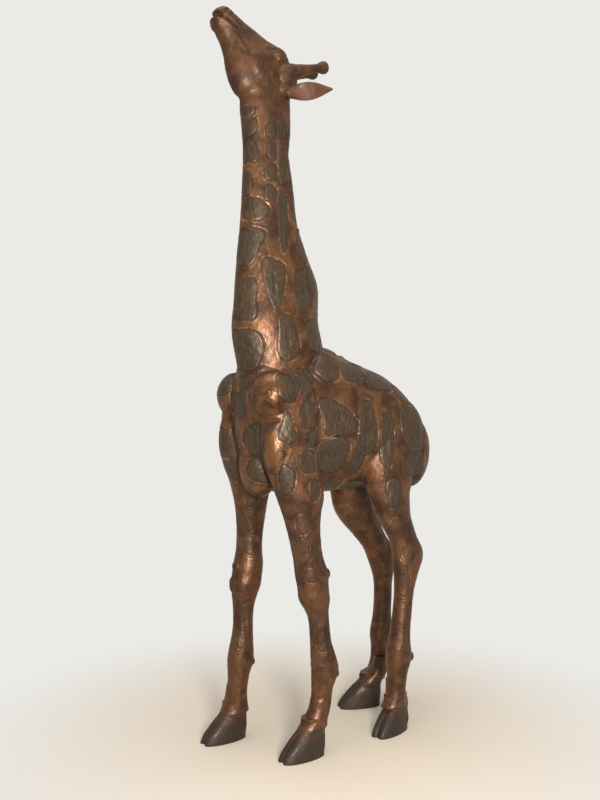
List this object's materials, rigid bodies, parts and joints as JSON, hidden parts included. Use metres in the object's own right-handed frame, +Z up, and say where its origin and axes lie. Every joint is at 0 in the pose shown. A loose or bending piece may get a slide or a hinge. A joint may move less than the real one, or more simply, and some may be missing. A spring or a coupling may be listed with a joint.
{
  "type": "giraffe statue",
  "caption": "Free-standing cast bronze giraffe statue with a raised head, walking stance and patterned coat, built from hollow castings joined by spigot lips and weld beads.",
  "frame": {"origin": "middle of the length and width, on the plane the four soles rest on", "axes": "+Z up, the animal faces -Y, its left side is +X"},
  "size_m": [0.3299, 0.8127, 2.2347],
  "materials": {
    "bronze": "dark red-brown patina, rubbed bright on the high points",
    "hoof_bronze": "near-black patina, satin"
  },
  "bodies": {
    "root": {"head": "bronze", "left_ear": "bronze", "right_ear": "bronze", "left_horn": "bronze", "right_horn": "bronze", "neck_upper": "bronze", "neck_lower": "bronze", "forequarters": "bronze", "hindquarters": "bronze", "tail": "bronze", "left_fore_upper_leg": "bronze", "left_fore_lower_leg": "bronze", "left_fore_hoof": "hoof_bronze", "right_fore_upper_leg": "bronze", "right_fore_lower_leg": "bronze", "right_fore_hoof": "hoof_bronze", "left_hind_upper_leg": "bronze", "left_hind_lower_leg": "bronze", "left_hind_hoof": "hoof_bronze", "right_hind_upper_leg": "bronze", "right_hind_lower_leg": "bronze", "right_hind_hoof": "hoof_bronze", "head_weld": "bronze", "neck_weld": "bronze", "neck_base_weld": "bronze", "belly_weld": "bronze", "left_fore_top_weld": "bronze", "left_fore_knee_weld": "bronze", "left_fore_hoof_weld": "bronze", "right_fore_top_weld": "bronze", "right_fore_knee_weld": "bronze", "right_fore_hoof_weld": "bronze", "left_hind_top_weld": "bronze", "left_hind_hock_weld": "bronze", "left_hind_hoof_weld": "bronze", "right_hind_top_weld": "bronze", "right_hind_hock_weld": "bronze", "right_hind_hoof_weld": "bronze"}
  },
  "joints": []
}
